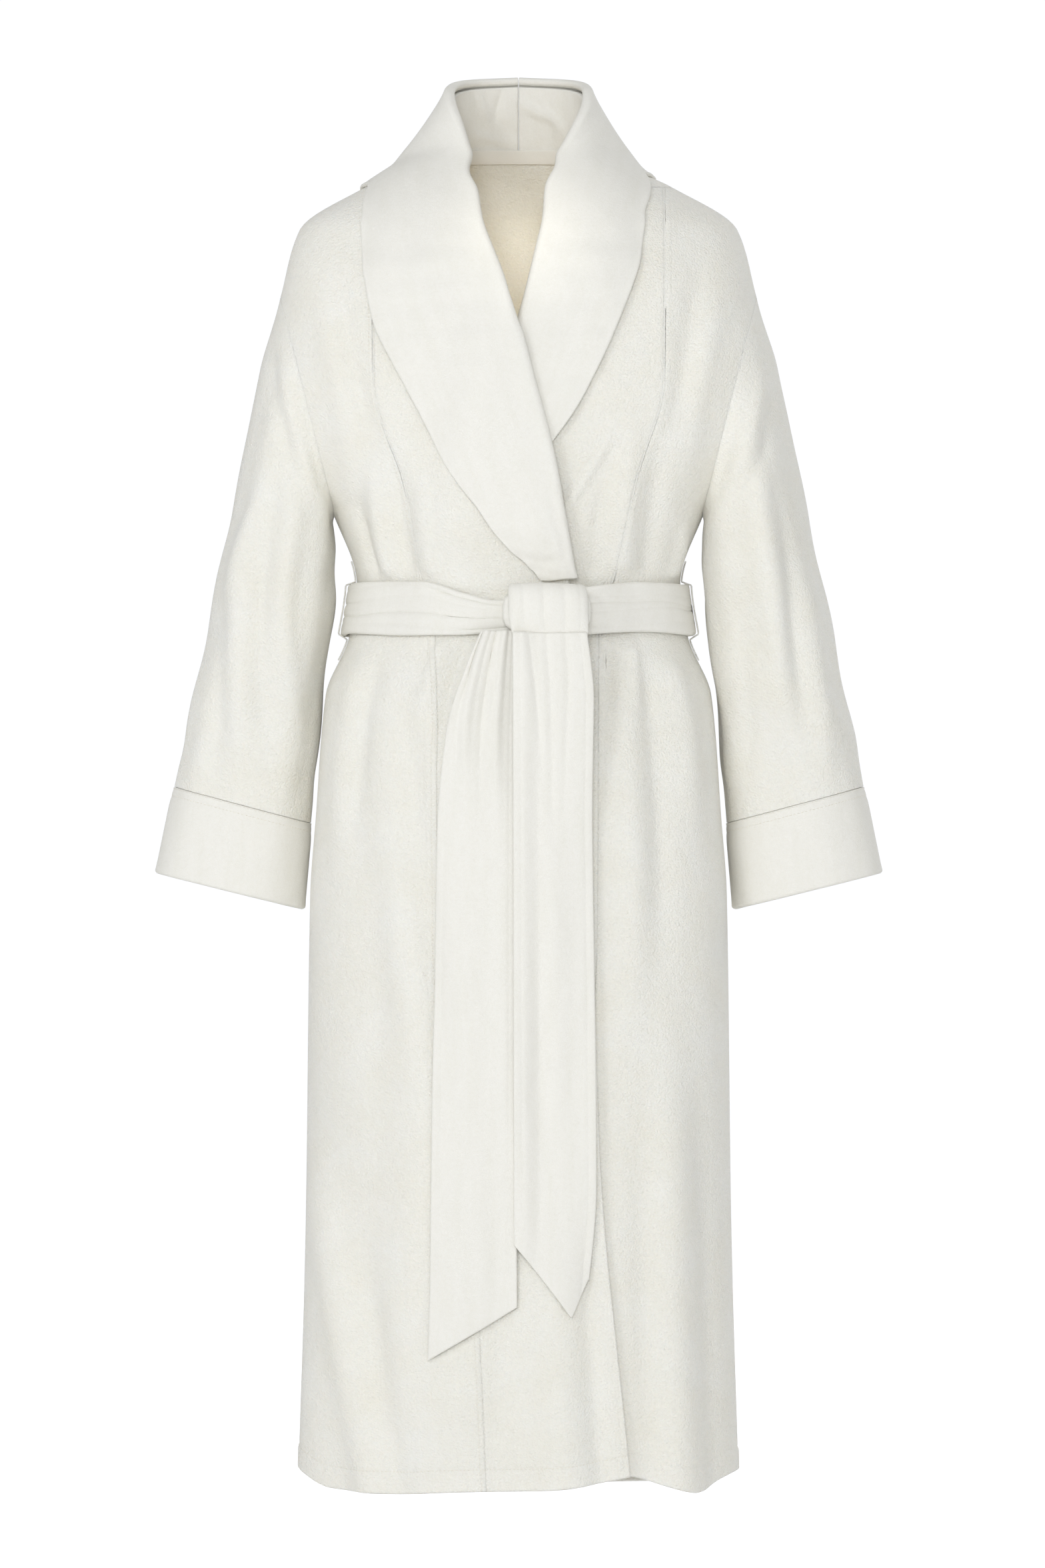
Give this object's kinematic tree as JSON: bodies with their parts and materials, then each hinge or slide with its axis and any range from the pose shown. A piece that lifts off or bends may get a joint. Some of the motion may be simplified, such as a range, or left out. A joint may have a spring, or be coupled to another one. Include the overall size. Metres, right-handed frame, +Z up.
{
  "type": "bathrobe",
  "caption": "Long white towelling bathrobe with a shawl collar and turned-back smooth cuffs, closed by a sash tied at the waist.",
  "frame": {"origin": "middle of the neck, level with the neck seam, where a hanger's hook comes out", "axes": "+Z up, the front of the robe faces -Y, +X is the wearer's left"},
  "size_m": [0.6596, 0.2834, 1.2747],
  "materials": {
    "terry": "looped cotton towelling, matt",
    "velour": "smooth sheared cotton, matt",
    "binding": "woven cotton tape, matt"
  },
  "bodies": {
    "robe": {"back_panel": "terry", "right_front_panel": "terry", "left_front_panel": "terry", "right_front_band": "terry", "left_front_band": "terry", "right_pocket_bag": "terry", "left_pocket_bag": "terry", "right_belt_loop": "terry", "left_belt_loop": "terry", "right_front_facing": "velour", "left_front_facing": "velour", "right_collar": "velour", "left_collar": "velour", "right_collar_stand": "velour", "left_collar_stand": "velour", "belt_wrap": "velour", "belt_knot": "velour", "neck_tape": "binding", "hanging_loop": "binding"},
    "right_arm": {"right_sleeve": "terry", "right_cuff": "velour"},
    "left_arm": {"left_sleeve": "terry", "left_cuff": "velour"},
    "right_tail": {"right_belt_tail": "velour"},
    "left_tail": {"left_belt_tail": "velour"}
  },
  "joints": [
    {"name": "right_sleeve_raise", "type": "hinge", "parent": "robe", "child": "right_arm", "pos_m": [-0.21574, 0, -0.12978], "axis": [0, 1, 0], "range_deg": [0, 45]},
    {"name": "left_sleeve_raise", "type": "hinge", "parent": "robe", "child": "left_arm", "pos_m": [0.21574, 0, -0.12978], "axis": [0, -1, 0], "range_deg": [0, 45]},
    {"name": "right_tail_swing", "type": "hinge", "parent": "robe", "child": "right_tail", "pos_m": [0.03, -0.1625, -0.4366], "axis": [-1, 0, 0], "range_deg": [0, 60]},
    {"name": "left_tail_swing", "type": "hinge", "parent": "robe", "child": "left_tail", "pos_m": [-0.02, -0.1625, -0.4366], "axis": [-1, 0, 0], "range_deg": [0, 60]}
  ]
}
